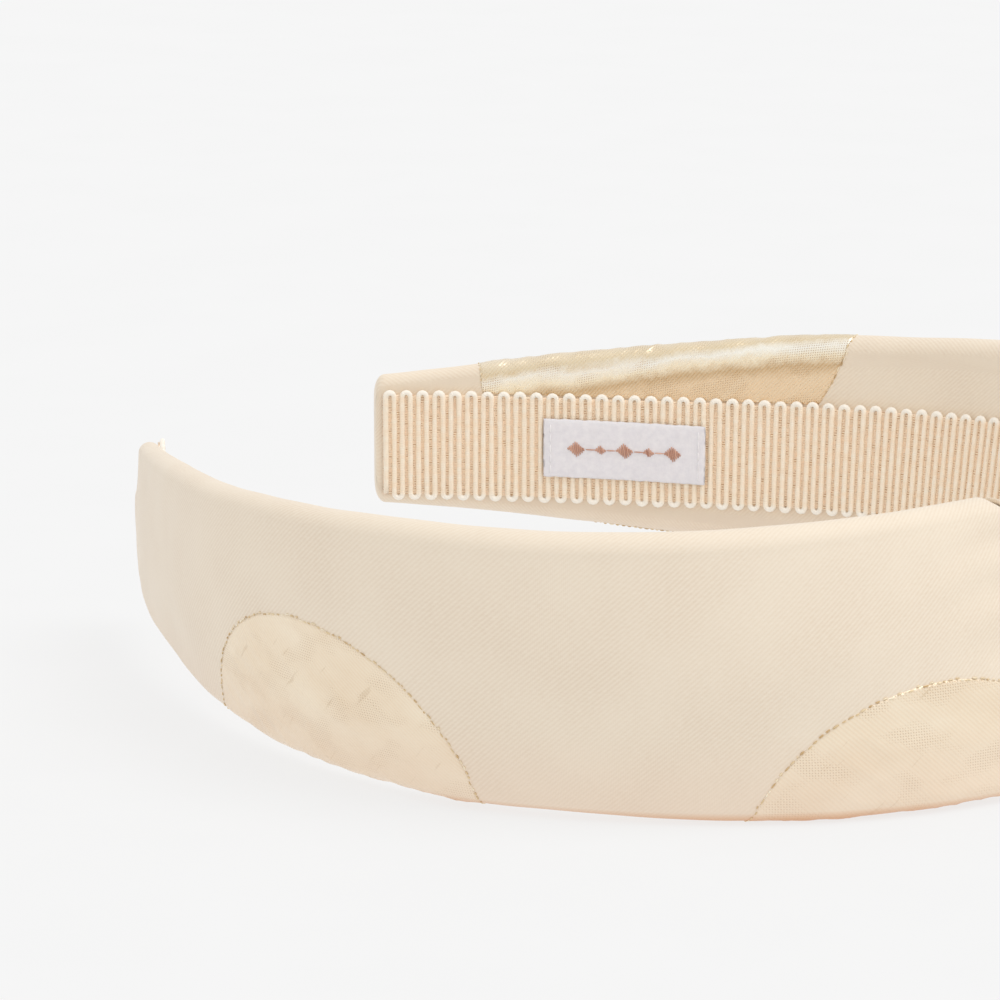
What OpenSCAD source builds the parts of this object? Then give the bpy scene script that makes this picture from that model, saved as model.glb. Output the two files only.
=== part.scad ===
// Knotted padded headband lying on its edge: a sprung strip, foam, sleeve, lining and a knot.
// X runs from the tips to the crown, Y to the left arm, Z up from the surface it lies on.

/* [Band shape] */
// Length of one half, tip to crown, along the middle line (mm)
half_length = 188; // [165:0.5:225]
// Bend radius where an arm runs into the crown (mm)
bend_radius = 53; // [48:0.5:64]
// Length over which the bend fades out towards the tip (mm)
fade_length = 112; // [90:0.5:130]
// Angle of an arm to the long axis just behind its tip (degrees)
toe_in = 38.1; // [30:0.1:46]
// Extra inward curl of the last stretch before a tip (degrees)
tip_curl = 8.7; // [0:0.1:14]
// Outward lean of the upper edge at the middle of an arm (degrees)
lean_arm = 10.5; // [0:0.5:18]
// Outward lean of the upper edge at the crown (degrees)
lean_crown = -11; // [-12:0.5:10]

/* [Band section] */
// Half height of the band at a tip (mm)
tip_half = 9.2; // [8.5:0.1:12]
// Half height of the band at its widest (mm)
wide_half = 18; // [14:0.1:24]
// Distance from the tip to the widest place (mm)
wide_at = 123; // [95:0.5:150]
// Half height of the sleeve where it is gathered under the knot (mm)
gather_half = 13.8; // [11.4:0.1:17]
// Radius of the rounded edges at a tip (mm)
edge_tip = 1.4; // [1.4:0.05:2.6]
// Radius of the rounded edges along the arm (mm)
edge_arm = 2.3; // [1.9:0.05:3.2]
// Extra padding over the middle of the band (mm)
padding = 1.5; // [0.5:0.1:3]
// Thickness of the sleeve fabric (mm)
fabric = 0.6; // [0.4:0.05:0.9]

/* [Lining and label] */
// Width of the ribbed lining ribbon (mm)
ribbon_width = 16; // [10:0.5:17]
// Thickness of the lining ribbon (mm)
ribbon_thick = 1; // [0.6:0.1:1.4]
// Length of the woven label (mm)
label_length = 23.5; // [15:0.5:30]
// Height of the woven label (mm)
label_height = 8.4; // [6:0.2:12]
// Distance from the left tip to the middle of the label (mm)
label_at = 36; // [25:0.5:60]

/* [Knot] */
// Half width of the outer loop of the knot (mm)
outer_loop_half = 11; // [8:0.5:13.5]
// Half width of the inner loop of the knot (mm)
inner_loop_half = 13.5; // [10:0.5:16.5]
// Sideways run of each loop from edge to edge, halved (mm)
loop_slant = 5; // [2:0.5:6]
// Thickness of a loop over the middle of the band (mm)
loop_thick = 4.2; // [2.5:0.1:5]

/* [Dots] */
// Radius of a woven gold dot (mm)
dot_radius = 23.3; // [15:0.1:24]
// Thickness of a woven gold dot (mm)
dot_thick = 0.3; // [0.2:0.05:0.5]

/* [Flexing] */
// Distance from a tip to the place where the arm flexes (mm)
flex_at = 118; // [117:0.5:120]

/* [Hidden] */
gap = 0.1;
joint_gap = 0.4;
core_off = 0.6;
rad = 180 / PI;
kc = 1 / bend_radius;
crown_run = half_length - fade_length;
fade_part = fade_length / 2;
turn = (toe_in + 90) / rad / kc;
crown_ease = (turn - (half_length - fade_part)) / (crown_run / 2);
steps = 188;
ds = half_length / steps;
knot_flat = 12;
knot_fade = 8;
curl_length = 27;
flex_crown = half_length - flex_at;
dot_lift = 0.35;
left = 1;
right = -1;

// smooth rise from 0 to 1 and its running sum
function ease(x) = let (v = max(0, min(1, x))) v * v * (3 - 2 * v);
function ease_sum(v) = v * v * v - v * v * v * v / 2;

// direction of the middle line at distance s from the tip, then the line itself
function faded(s) = fade_length * ease_sum(min(1, s / fade_length)) + max(0, s - fade_length);
function eased(s) = crown_ease * crown_run * ease_sum(max(0, (s - fade_length) / crown_run));
function heading(s) =
    toe_in - rad * kc * (faded(s) + eased(s)) + tip_curl * (1 - ease(s / curl_length));
line = [
    for (
        i = 0, x = 0, y = 0;
        i <= steps;
        x = x + ds * cos(heading((i + 0.5) * ds)),
        y = y + ds * sin(heading((i + 0.5) * ds)),
        i = i + 1
    ) [x, y]
];
crown_y = line[steps][1];
function middle(s) =
    let (q = max(0, min(steps - 0.000001, s / ds)), i = floor(q), f = q - i)
    line[i] * (1 - f) + line[i + 1] * f - [0, crown_y];

// how the section changes along the band
function lean(s) =
    lean_arm * ease(s / 110) + (lean_crown - lean_arm) * ease((s - 110) / (half_length - 110));
function full_half(s) =
    tip_half + (wide_half - tip_half) * pow(sin(90 * min(1, s / wide_at)), 1.08);
function gathered(s) = ease((s - (half_length - knot_flat - knot_fade)) / knot_fade);
function half(s) = full_half(s) + (gather_half - full_half(s)) * gathered(s);
function edge(s) = edge_tip + (edge_arm - edge_tip) * ease(s / 60);
function pad(s) = 0.25 + (padding - 0.25) * ease(s / 80);
function flat(s) = half(s) - edge(s);
function ribbon_mid(s) = -0.5 - 1.2 * sin(180 * min(1, s / (0.66 * half_length)));

// how far the lower edge lies below the middle of the band
function drop(s) = flat(s) * cos(lean(s)) + edge(s) + core_off * sin(lean(s));

// a place on the band before it is centred: u along from the crown, h across, n outwards
function raw(u, h, n) =
    let (
        s = half_length - abs(u),
        side = u < 0 ? -1 : 1,
        m = middle(s),
        t = heading(s),
        k = lean(s),
        o = h * sin(k) + (n + core_off) * cos(k)
    )
    [
        m[0] - sin(t) * o,
        side * (m[1] + cos(t) * o),
        h * cos(k) - (n + core_off) * sin(k)
    ];

// the sleeve section: q from -1 to 1 over the outer face, then round an edge to 2 or -2
function around(s, q, off) =
    let (r = edge(s) + off, b = flat(s), a = (abs(q) - 1) * 180)
    abs(q) <= 1
        ? [b * q, r + pad(s) * (1 - q * q)]
        : [sign(q) * (b + r * sin(a)), r * cos(a)];

// height on the face where a developed distance from the middle falls, and back again
function rim_length(s, off) = 180 / rad * (edge(s) + off);
function q_of(s, a, off) =
    let (b = flat(s), e = rim_length(s, off))
    abs(a) <= b ? a / b : sign(a) * (1 + (abs(a) - b) / e);

/* knot loops: q runs edge to edge, v runs across the loop */
knot_edge = edge(half_length);
loop_ends = 1.88;
function slim(q) = 1 - 0.62 * ease((abs(q) - 0.35) / 0.8);
function shape(v) = pow(max(0, 1 - pow(abs(v), 3.2)), 0.6);
function pleats(v, n) = 1 + 0.1 * cos(360 * n * v);
function inner_shift(q) = -loop_slant * q / 2;
function outer_shift(q) = loop_slant * q / 2;
function inner_half(q) = inner_loop_half * (0.9 + 0.1 * ease(abs(q) - 0.6));
function outer_half(q) = outer_loop_half * (0.86 + 0.14 * ease(abs(q) - 0.6));
function inner_rise(q, v) = 0.4 + (loop_thick * slim(q) - 0.4) * shape(v) * pleats(v, 1.5);
function outer_base(q, u) =
    let (v = (u - inner_shift(q)) / (inner_half(q) + 4))
    gap + 0.35 + (loop_thick * slim(q) * 1.12 + 0.5) * max(0, 1 - pow(abs(v), 2.6));
function outer_rise(q, v) = 0.6 + (loop_thick * slim(q) - 0.6) * shape(v) * pleats(v, 2.5);
function loop_place(u, q, off) =
    let (p = around(half_length - abs(u), q, off))
    raw(u, p[0], p[1]);
function inner_out(q, v, lift) =
    let (u = inner_shift(q) + inner_half(q) * v)
    loop_place(u, q, gap + 0.15 + inner_rise(q, v) + lift);
function inner_in(q, v) =
    let (u = inner_shift(q) + inner_half(q) * v)
    loop_place(u, q, gap + 0.1);
function outer_out(q, v, lift) =
    let (u = outer_shift(q) + outer_half(q) * v)
    loop_place(u, q, outer_base(q, u) + outer_rise(q, v) + lift);
function outer_in(q, v) =
    let (u = outer_shift(q) + outer_half(q) * v)
    loop_place(u, q, outer_base(q, u));
loop_q = [for (i = [0 : 22]) loop_ends * sin(90 * (i - 11) / 11 * 0.72) / sin(64.8)];
loop_v = [for (i = [0 : 12]) sin(90 * (i - 6) / 6)];

// the band is centred over its own bounding box and its lowest part rests on the surface
knot_points = [for (q = loop_q) for (v = loop_v) outer_out(q, v, dot_lift + dot_thick)];
knot_front = max([for (p = knot_points) p[0]]);
knot_low = min([for (p = knot_points) p[2]]);
band_low = -max([for (i = [0 : steps]) drop(i * ds)]) - dot_lift - dot_thick;
tip_back = min([for (q = [-2 : 0.25 : 2]) raw(half_length, around(0, q, 0)[0], around(0, q, 0)[1])[0]]);
rest = [(knot_front + tip_back) / 2, 0, min(band_low, knot_low)];
function place(u, h, n) = raw(u, h, n) - rest;
function moved(list) = [for (p = list) p - rest];

// closed rings of a section in h and n
function outer_ring(s, off) = concat(
    [for (i = [0 : 10]) around(s, i / 5 - 1, off)],
    [for (i = [1 : 4]) around(s, 1 + i / 4, off)],
    [for (i = [1 : 4]) [flat(s) * (1 - i / 2), -edge(s) - off]],
    [for (i = [3 : -1 : 1]) around(s, -1 - i / 4, off)]
);
function foam_ring(s) = concat(
    [for (i = [0 : 8]) around(s, i / 4 - 1, -fabric - gap)],
    [for (i = [1 : 2]) around(s, 1 + 0.235 * i, -fabric - gap)],
    [for (i = [1 : 2]) [flat(s) * (1.8 - 1.2 * i), foam_base(s)]],
    [for (i = [2 : -1 : 1]) around(s, -1 - 0.235 * i, -fabric - gap)]
);
function foam_base(s) = (edge(s) - fabric - gap) * cos(84.6);
function box_ring(h0, h1, n0, n1, c) = [
    [h0 + c, n1], [(h0 + h1) / 2, n1], [h1 - c, n1], [h1, n1 - c], [h1, n0 + c],
    [h1 - c, n0], [(h0 + h1) / 2, n0], [h0 + c, n0], [h0, n0 + c], [h0, n1 - c]
];
function hoop_ring(s) =
    box_ring(-flat(s), flat(s), -(edge(s) - fabric - gap), foam_base(s) - gap, 0.3);
function ribbon_face(s) = -edge(s) - gap;
function lining_ring(s) =
    let (m = ribbon_mid(s), w = ribbon_width / 2, f = ribbon_face(s))
    box_ring(m - w, m + w, f - ribbon_thick, f, 0.25);
function scaled(ring, k) = [for (p = ring) p * k];
function ring_at(u, ring) = [for (p = ring) place(u, p[0], p[1])];
function spread(a, b, n) = [for (i = [0 : n]) a + (b - a) * i / n];

// one closed skin over a run of rings; the ends are closed round a middle point, and each cell
// is folded along the diagonal that lies deeper, so that neighbouring pieces stay clear
function sum_of(ring, k, i = 0) = i == len(ring) ? 0 : ring[i][k] + sum_of(ring, k, i + 1);
function sunk(a, b, c, d, flip) = ((a + c) - (b + d)) * cross(c - a, d - b) * (flip ? 1 : -1) > 0;
function side_faces(pts, nr, m, flip, wrap) = [
    for (i = [0 : nr - (wrap ? 1 : 2)])
    for (j = [0 : m - 1])
    let (
        a = i * m + j,
        b = i * m + (j + 1) % m,
        c = ((i + 1) % nr) * m + (j + 1) % m,
        d = ((i + 1) % nr) * m + j,
        other = sunk(pts[a], pts[b], pts[c], pts[d], flip)
    )
    for (k = [0 : 1])
    let (f = other ? (k == 0 ? [a, b, d] : [b, c, d]) : (k == 0 ? [a, b, c] : [a, c, d]))
    flip ? [f[0], f[2], f[1]] : f
];
function end_faces(nr, m, flip) = [
    for (j = [0 : m - 1])
    for (k = [0 : 1])
    let (
        a = j,
        b = (j + 1) % m,
        f = k == 0 ? [nr * m, b, a] : [nr * m + 1, (nr - 1) * m + a, (nr - 1) * m + b]
    )
    flip ? [f[0], f[2], f[1]] : f
];
function flat_list(rings) = [for (r = rings) for (p = r) p];
module skin(rings, flip, first, last) {
    nr = len(rings);
    m = len(rings[0]);
    pts = flat_list(rings);
    polyhedron(
        points = concat(pts, [first, last]),
        faces = concat(side_faces(pts, nr, m, flip, false), end_faces(nr, m, flip)),
        convexity = 6
    );
}
module ended(rings, flip) {
    n = len(rings) - 1;
    skin(rings, flip, centre_of(rings[0]), centre_of(rings[n]));
}
function centre_of(ring) = [for (k = [0 : 2]) sum_of(ring, k) / len(ring)];
module ring_skin(rings, flip) {
    nr = len(rings);
    m = len(rings[0]);
    pts = flat_list(rings);
    polyhedron(
        points = pts,
        faces = side_faces(pts, nr, m, flip, true),
        convexity = 8
    );
}

// stations along the band, measured from the crown
arm_start = flex_crown + joint_gap / 2;
crown_end = flex_crown - joint_gap / 2;
arm_u = spread(arm_start, half_length - 4, 22);
crown_u = concat(spread(crown_end, knot_flat + knot_fade + 2, 12),
    spread(knot_flat + knot_fade, knot_flat, 4), spread(knot_flat - 4, 0.2, 3));
crown_both = concat([for (u = crown_u) -u], [for (i = [len(crown_u) - 1 : -1 : 0]) crown_u[i]]);

module arm_hoop(side) {
    color("gainsboro")
    ended([for (u = concat(arm_u, [half_length - 2])) ring_at(side * u, hoop_ring(half_length - u))],
        side < 0);
}
module arm_foam(side) {
    color("khaki")
    ended([for (u = concat(arm_u, [half_length - 2])) ring_at(side * u, foam_ring(half_length - u))],
        side < 0);
}
module arm_cover(side) {
    e = half_length;
    out = concat(
        [for (u = arm_u) ring_at(side * u, outer_ring(e - u, 0))],
        [ring_at(side * (e - 1.4), outer_ring(1.4, 0))],
        [ring_at(side * (e - 0.45), scaled(outer_ring(0.45, 0), 0.93))],
        [ring_at(side * e, scaled(outer_ring(0, 0), 0.7))]
    );
    inn = concat(
        [for (u = arm_u) ring_at(side * u, outer_ring(e - u, -fabric))],
        [ring_at(side * (e - 1.5), outer_ring(1.5, -fabric))],
        [ring_at(side * (e - 0.9), scaled(outer_ring(0.9, -fabric), 0.8))]
    );
    back = [for (i = [len(inn) - 1 : -1 : 0]) inn[i]];
    color("antiquewhite")
    skin(concat(back, out), side < 0, centre_of(back[0]), centre_of(out[len(out) - 1]));
}
module crown_cover(side) {
    out = [for (u = crown_u) ring_at(side * u, outer_ring(half_length - u, 0))];
    inn = [for (i = [len(crown_u) - 1 : -1 : 0])
        ring_at(side * crown_u[i], outer_ring(half_length - crown_u[i], -fabric))];
    color("linen")
    ring_skin(concat(out, inn), side > 0);
}
module arm_lining(side) {
    color("bisque")
    ended([for (u = concat(arm_u, [half_length - 0.9]))
        ring_at(side * u, lining_ring(half_length - u))], side < 0);
}

module hoop_crown() {
    color("gainsboro")
    ended([for (u = crown_both) ring_at(u, hoop_ring(half_length - abs(u)))], false);
}
module hoop_left_arm() { arm_hoop(left); }
module hoop_right_arm() { arm_hoop(right); }
module foam_crown() {
    color("khaki")
    ended([for (u = crown_both) ring_at(u, foam_ring(half_length - abs(u)))], false);
}
module foam_left_arm() { arm_foam(left); }
module foam_right_arm() { arm_foam(right); }
module cover_left_crown() { crown_cover(left); }
module cover_right_crown() { crown_cover(right); }
module cover_left_arm() { arm_cover(left); }
module cover_right_arm() { arm_cover(right); }
module lining_crown() {
    color("bisque")
    ended([for (u = crown_both) ring_at(u, lining_ring(half_length - abs(u)))], false);
}
module lining_left_arm() { arm_lining(left); }
module lining_right_arm() { arm_lining(right); }

// the outer loop comes from the left half of the sleeve, the inner loop from the right half
module knot_left_loop() {
    color("wheat")
    ended([for (q = loop_q) moved(concat(
        [for (v = loop_v) outer_out(q, v, 0)],
        [for (i = [len(loop_v) - 1 : -1 : 0]) outer_in(q, loop_v[i])]
    ))], true);
}
module knot_right_loop() {
    color("moccasin")
    ended([for (q = loop_q) moved(concat(
        [for (v = loop_v) inner_out(q, v, 0)],
        [for (i = [len(loop_v) - 1 : -1 : 0]) inner_in(q, loop_v[i])]
    ))], true);
}
module tack(h) {
    color("ivory")
    ended([for (u = spread(-4, 4, 6)) ring_at(u, [for (a = [0 : 60 : 300])
        [h + 0.4 * cos(a), ribbon_face(half_length) - 0.45 + 0.35 * sin(a)]])], true);
}
module knot_tack_upper() { tack(ribbon_mid(half_length) + ribbon_width / 2 + 0.7); }
module knot_tack_lower() { tack(ribbon_mid(half_length) - ribbon_width / 2 - 0.7); }

// a dot is a thin skin that follows the sleeve, round its edge and on to the ribbon behind
function round_reach(s, sign) =
    let (
        room = flat(s) - sign * ribbon_mid(s) - ribbon_width / 2 - 0.6,
        far_round = ease((s - 12) / 18)
    )
    flat(s) + rim_length(s, dot_lift) * (0.55 + 0.4 * far_round)
        + far_round * max(room + 0.05 * rim_length(s, dot_lift), 0);
function skin_point(u, wish, off) =
    let (
        s = half_length - abs(u),
        past = max(0, abs(wish) - round_reach(s, sign(wish))),
        a = wish - sign(wish) * past * 0.97,
        over = abs(a) - flat(s) - rim_length(s, dot_lift),
        p = over <= 0
            ? around(s, q_of(s, a, dot_lift), off)
            : [sign(a) * (flat(s) - over), -edge(s) - off]
    )
    place(u, p[0], p[1]);
module strip_skin(rings, flip) {
    nr = len(rings);
    m = len(rings[0]);
    pts = flat_list(rings);
    ends = [
        for (j = [0 : m / 2 - 2])
        for (k = [0 : 3])
        let (
            o = k < 2 ? 0 : (nr - 1) * m,
            f = k % 2 == 0 ? [j, m - 2 - j, j + 1] : [j, m - 1 - j, m - 2 - j],
            g = [o + f[0], o + f[1], o + f[2]]
        )
        (k < 2) == flip ? [g[0], g[2], g[1]] : g
    ];
    polyhedron(
        points = pts,
        faces = concat(side_faces(pts, nr, m, flip, false), ends),
        convexity = 6
    );
}
// rows are set closer together round the edge than over the face
function slowed(b, a) = abs(a) <= b ? a : sign(a) * (b + 2 * (abs(a) - b));
function hurried(b, w) = abs(w) <= b ? w : sign(w) * (b + (abs(w) - b) / 2);
module dot(side, at, across, r, near, far) {
    b = flat(half_length - abs(at));
    u_low = max(near, at - r);
    u_high = min(far, at + r);
    reach = [for (i = [0 : 8]) half_length - (u_low + (u_high - u_low) * i / 8)];
    w0 = slowed(b, max(across - r * 0.995, -max([for (s = reach) round_reach(s, -1)])));
    w1 = slowed(b, min(across + r * 0.995, max([for (s = reach) round_reach(s, 1)])));
    rows = 22;
    cells = 13;
    rings = [for (i = [0 : rows]) let (
            a = hurried(b, w0 + (w1 - w0) * i / rows),
            c = sqrt(r * r - (a - across) * (a - across)),
            u0 = max(near, at - c),
            u1 = min(far, at + c)
        ) concat(
            [for (j = [0 : cells]) skin_point(side * (u0 + (u1 - u0) * j / cells), a, dot_lift + dot_thick)],
            [for (j = [cells : -1 : 0]) skin_point(side * (u0 + (u1 - u0) * j / cells), a, dot_lift)]
        )];
    color("goldenrod")
    strip_skin(rings, side > 0);
}
module dot_left_crown() {
    dot(left, 45, 18, dot_radius, knot_flat + 8, crown_end - 0.5);
}
module dot_right_crown() {
    dot(right, 29.5, -25.5, dot_radius, knot_flat + 6, crown_end - 0.5);
}
module dot_left_tip() {
    dot(left, half_length - 42, flat(42) - 1, dot_radius * 1.17, arm_start + 1, half_length - 8);
}
module dot_left_mid() {
    dot(left, half_length - 95, 0, dot_radius * 0.8, arm_start + 0.5, half_length - 8);
}
module dot_right_mid() {
    dot(right, half_length - 80.8, -19.8, dot_radius, arm_start + 0.5, half_length - 8);
}
module dot_knot() {
    rows = 14;
    cells = 8;
    mid_q = 0.95;
    half_q = 0.72;
    color("goldenrod")
    ended([for (i = [0 : rows]) let (
            x = (i / rows * 2 - 1) * 0.985,
            q = mid_q + half_q * x,
            v0 = -0.05 - 0.72 * sqrt(1 - x * x),
            v1 = -0.05 + 0.72 * sqrt(1 - x * x)
        ) moved(concat(
            [for (j = [0 : cells]) outer_out(q, v0 + (v1 - v0) * j / cells, dot_lift + dot_thick)],
            [for (j = [cells : -1 : 0]) outer_out(q, v0 + (v1 - v0) * j / cells, dot_lift)]
        ))], true);
}

// the label lies on the lining of the left arm, a little askew
label_thick = 0.3;
label_skew = 2.2;
function label_base(s) = ribbon_face(s) - ribbon_thick - 0.08;
function label_mid(s) = ribbon_mid(label_at) - (s - label_at) * tan(label_skew);
module label() {
    color("lavender")
    ended([for (x = spread(-label_length / 2, label_length / 2, 8)) let (s = label_at + x)
        ring_at(half_length - s, box_ring(
            label_mid(s) - label_height / 2, label_mid(s) + label_height / 2,
            label_base(s) - label_thick, label_base(s), 0.1))],
        true);
}
module label_thread(x) {
    s = label_at + x;
    m = label_mid(s);
    n = label_base(s) - label_thick - 0.06;
    color("white")
    ended([for (i = [0 : 6]) let (h = m + (i / 3 - 1) * (label_height / 2 - 0.6), c = 0.35)
        [
            place(half_length - s + c, h, n),
            place(half_length - s + c * 0.5, h, n - 0.28),
            place(half_length - s - c * 0.5, h, n - 0.28),
            place(half_length - s - c, h, n)
        ]], true);
}
module label_stitch_tip() { label_thread(1.2 - label_length / 2); }
module label_stitch_crown() { label_thread(label_length / 2 - 1.2); }

hoop_crown();
hoop_left_arm();
hoop_right_arm();
foam_crown();
foam_left_arm();
foam_right_arm();
cover_left_crown();
cover_right_crown();
cover_left_arm();
cover_right_arm();
lining_crown();
lining_left_arm();
lining_right_arm();
knot_left_loop();
knot_right_loop();
knot_tack_upper();
knot_tack_lower();
dot_knot();
dot_left_crown();
dot_right_crown();
dot_left_tip();
dot_left_mid();
dot_right_mid();
label();
label_stitch_tip();
label_stitch_crown();
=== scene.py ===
"""A knotted fabric headband on a pale floor: the looks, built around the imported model's frame.

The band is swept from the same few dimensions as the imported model, in millimetres, and becomes
metres when a mesh is made. u is the distance along the band from its crown, positive on the left
half; s is the distance from a tip; h runs across the band, n out of it, and a is the developed
distance across its outer face.
"""

import math
import random

import bpy
import numpy as np
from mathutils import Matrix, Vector


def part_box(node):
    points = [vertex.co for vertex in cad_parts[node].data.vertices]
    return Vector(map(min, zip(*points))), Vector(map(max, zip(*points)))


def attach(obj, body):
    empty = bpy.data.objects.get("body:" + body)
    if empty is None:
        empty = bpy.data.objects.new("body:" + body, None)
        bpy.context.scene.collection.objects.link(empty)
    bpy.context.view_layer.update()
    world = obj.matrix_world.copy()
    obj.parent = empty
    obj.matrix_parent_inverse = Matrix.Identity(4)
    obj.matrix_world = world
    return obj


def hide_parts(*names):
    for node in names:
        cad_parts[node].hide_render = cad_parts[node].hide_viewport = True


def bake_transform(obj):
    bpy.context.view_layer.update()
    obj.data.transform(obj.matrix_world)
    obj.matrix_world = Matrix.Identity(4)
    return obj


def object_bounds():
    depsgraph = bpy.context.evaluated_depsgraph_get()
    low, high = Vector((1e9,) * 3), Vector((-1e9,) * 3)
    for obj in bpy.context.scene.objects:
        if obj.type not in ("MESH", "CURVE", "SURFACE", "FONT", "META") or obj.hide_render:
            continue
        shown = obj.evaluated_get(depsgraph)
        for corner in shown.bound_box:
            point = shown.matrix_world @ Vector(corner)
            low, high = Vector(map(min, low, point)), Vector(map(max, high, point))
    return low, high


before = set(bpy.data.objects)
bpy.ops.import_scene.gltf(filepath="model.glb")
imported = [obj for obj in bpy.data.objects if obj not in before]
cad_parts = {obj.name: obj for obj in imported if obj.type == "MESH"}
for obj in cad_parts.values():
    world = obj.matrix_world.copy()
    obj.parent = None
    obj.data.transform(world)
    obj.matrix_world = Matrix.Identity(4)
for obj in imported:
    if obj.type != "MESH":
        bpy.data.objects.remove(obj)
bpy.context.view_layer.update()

MM = 0.001
LEFT, RIGHT = 1, -1
SIDES = {"left": LEFT, "right": RIGHT}

# ---------------------------------------------------------------- the band's shape, in millimetres

HALF_LENGTH = 188.0
BEND_RADIUS = 53.0
FADE_LENGTH = 112.0
TOE_IN = math.radians(38.1)
TIP_CURL, CURL_LENGTH = math.radians(8.7), 27.0
LEAN_ARM = math.radians(10.5)
LEAN_CROWN = math.radians(-11.0)
TIP_HALF, WIDE_HALF, WIDE_AT = 9.2, 18.0, 123.0
GATHER_HALF, KNOT_FLAT, KNOT_FADE = 13.8, 12.0, 8.0
EDGE_TIP, EDGE_ARM = 1.4, 2.3
PADDING, FABRIC, GAP, CORE_OFF = 1.5, 0.6, 0.1, 0.6
RIBBON_WIDTH, RIBBON_THICK = 16.0, 1.0
LABEL_LENGTH, LABEL_HEIGHT, LABEL_AT = 23.5, 8.4, 36.0
LABEL_SKEW = math.radians(2.2)
DOT_RADIUS = 23.3
LEAN_LENGTH = 110.0
EDGE_LENGTH, PAD_LENGTH, PAD_TIP = 60.0, 80.0, 0.25
RIBBON_LOW, RIBBON_SAG = -0.5, 1.2
FLEX_AT = 118.0
FLEX_U = HALF_LENGTH - FLEX_AT
SETTLE_LENGTH, SETTLE_DROP, SETTLE_IN = 15.0, 4.2, 2.6
RUN = HALF_LENGTH - FADE_LENGTH
CROWN_EASE = ((TOE_IN + math.pi / 2) * BEND_RADIUS - (HALF_LENGTH - FADE_LENGTH / 2)) / (RUN / 2)


def ease(x):
    v = np.clip(x, 0, 1)
    return v * v * (3 - 2 * v)


def ease_sum(x):
    v = np.clip(x, 0, 1)
    return v**3 - v**4 / 2


def heading(s):
    faded = FADE_LENGTH * ease_sum(s / FADE_LENGTH) + np.maximum(0, s - FADE_LENGTH)
    eased = CROWN_EASE * RUN * ease_sum((s - FADE_LENGTH) / RUN)
    curl = TIP_CURL * (1 - ease(s / CURL_LENGTH))
    return TOE_IN - (faded + eased) / BEND_RADIUS + curl


STEP = 0.25
LINE_S = np.arange(0, HALF_LENGTH + STEP / 2, STEP)
LINE_TURN = heading(LINE_S[:-1] + STEP / 2)
LINE_X = np.concatenate([[0], np.cumsum(STEP * np.cos(LINE_TURN))])
LINE_Y = np.concatenate([[0], np.cumsum(STEP * np.sin(LINE_TURN))])
LINE_Y = LINE_Y - LINE_Y[-1]


def lean(s):
    last = (s - LEAN_LENGTH) / (HALF_LENGTH - LEAN_LENGTH)
    return LEAN_ARM * ease(s / LEAN_LENGTH) + (LEAN_CROWN - LEAN_ARM) * ease(last)


def half_width(s):
    rise = np.sin(np.pi / 2 * np.clip(s / WIDE_AT, 0, 1)) ** 1.08
    full = TIP_HALF + (WIDE_HALF - TIP_HALF) * rise
    gathered = ease((s - (HALF_LENGTH - KNOT_FLAT - KNOT_FADE)) / KNOT_FADE)
    return full + (GATHER_HALF - full) * gathered


def edge(s):
    return EDGE_TIP + (EDGE_ARM - EDGE_TIP) * ease(s / EDGE_LENGTH)


def pad(s):
    return PAD_TIP + (PADDING - PAD_TIP) * ease(s / PAD_LENGTH)


def flat(s):
    return half_width(s) - edge(s)


def ribbon_mid(s):
    return RIBBON_LOW - RIBBON_SAG * np.sin(np.pi * np.clip(s / (0.66 * HALF_LENGTH), 0, 1))


def raw(u, h, n):
    """Points before the band is centred: u along, h across, n outwards."""
    u, h, n = np.broadcast_arrays(*(np.asarray(x, float) for x in (u, h, n)))
    s = HALF_LENGTH - np.abs(u)
    side = np.where(u < 0, -1.0, 1.0)
    turn, tilt = heading(s), lean(s)
    out = h * np.sin(tilt) + (n + CORE_OFF) * np.cos(tilt)
    x = np.interp(s, LINE_S, LINE_X) - np.sin(turn) * out
    y = side * (np.interp(s, LINE_S, LINE_Y) + np.cos(turn) * out)
    return np.stack([x, y, h * np.cos(tilt) - (n + CORE_OFF) * np.sin(tilt)], -1)


def ribbon_face(s):
    return -edge(s) - GAP


def frame_shift():
    """What takes raw points into the row frame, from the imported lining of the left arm."""
    s = np.linspace(0.9, FLEX_AT - 0.2, 600)[:, None]
    c, w, t = 0.25, RIBBON_WIDTH / 2, RIBBON_THICK
    h = np.array([-w, -w + c, w - c, w, w, w - c, -w + c, -w])
    n = np.array([-c, 0, 0, -c, -t + c, -t, -t, -t + c])
    mine = raw(HALF_LENGTH - s, ribbon_mid(s) + h, ribbon_face(s) + n).reshape(-1, 3).min(0)
    packed = np.array(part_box("lining_left_arm")[0]) / MM
    return (mine - packed) * [1, 0, 1]


SHIFT = frame_shift()


def place(u, h, n):
    return raw(u, h, n) - SHIFT


def around(s, q, off):
    """h and n on the sleeve: q runs -1..1 over the face, round an edge to 2, then on behind."""
    s, q, off = np.broadcast_arrays(*(np.asarray(x, float) for x in (s, q, off)))
    r, b = edge(s) + off, flat(s)
    turn = np.clip(np.abs(q) - 1, 0, 1) * np.pi
    on_face = np.abs(q) <= 1
    behind = np.maximum(0, np.abs(q) - 2) * rim_length(s)
    h = np.where(on_face, b * q, np.sign(q) * (b + r * np.sin(turn) - behind))
    n = np.where(on_face, r + pad(s) * (1 - q * q), r * np.cos(turn))
    return h, n


def rim_length(s):
    return np.pi * edge(s)


def q_of(s, a):
    b = flat(s)
    return np.where(np.abs(a) <= b, a / b, np.sign(a) * (1 + (np.abs(a) - b) / rim_length(s)))


def a_of(s, q):
    b = flat(s)
    return np.where(np.abs(q) <= 1, b * q, np.sign(q) * (b + (np.abs(q) - 1) * rim_length(s)))


# ---------------------------------------------------------------- soft irregularity of the cloth


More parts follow.
